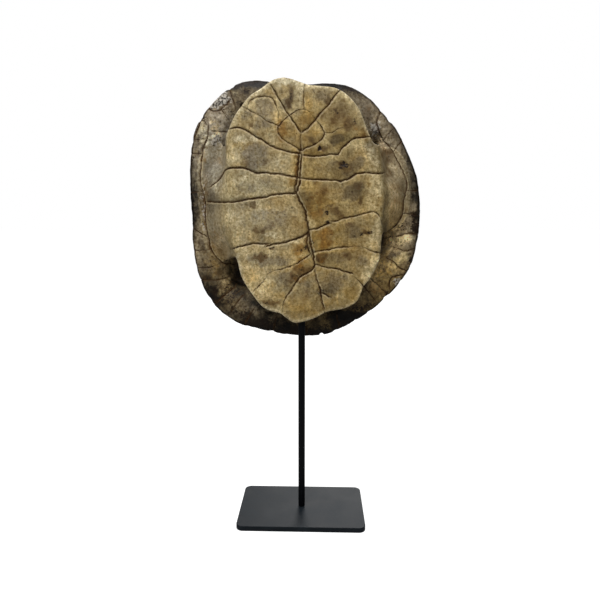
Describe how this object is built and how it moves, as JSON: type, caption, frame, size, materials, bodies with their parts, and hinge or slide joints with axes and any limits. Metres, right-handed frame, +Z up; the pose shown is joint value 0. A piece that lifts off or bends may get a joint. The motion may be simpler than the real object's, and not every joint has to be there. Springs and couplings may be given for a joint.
{
  "type": "turtle shell on a stand",
  "caption": "Bare-bone turtle shell, domed back and flat belly joined at the sides, held upright on a round rod over a flat rectangular plate.",
  "frame": {"origin": "centre of the underside of the base plate, which is also under the rod's axis", "axes": "+Z up along the rod, -Y towards the viewer who faces the shell's belly, +X to that viewer's right"},
  "size_m": [0.2764, 0.153, 0.5165],
  "materials": {
    "bone": "satin varnished dry bone",
    "rod_paint": "satin black",
    "plate_paint": "satin black"
  },
  "bodies": {
    "root": {"shell": "bone", "rod": "rod_paint", "base": "plate_paint"}
  },
  "joints": []
}
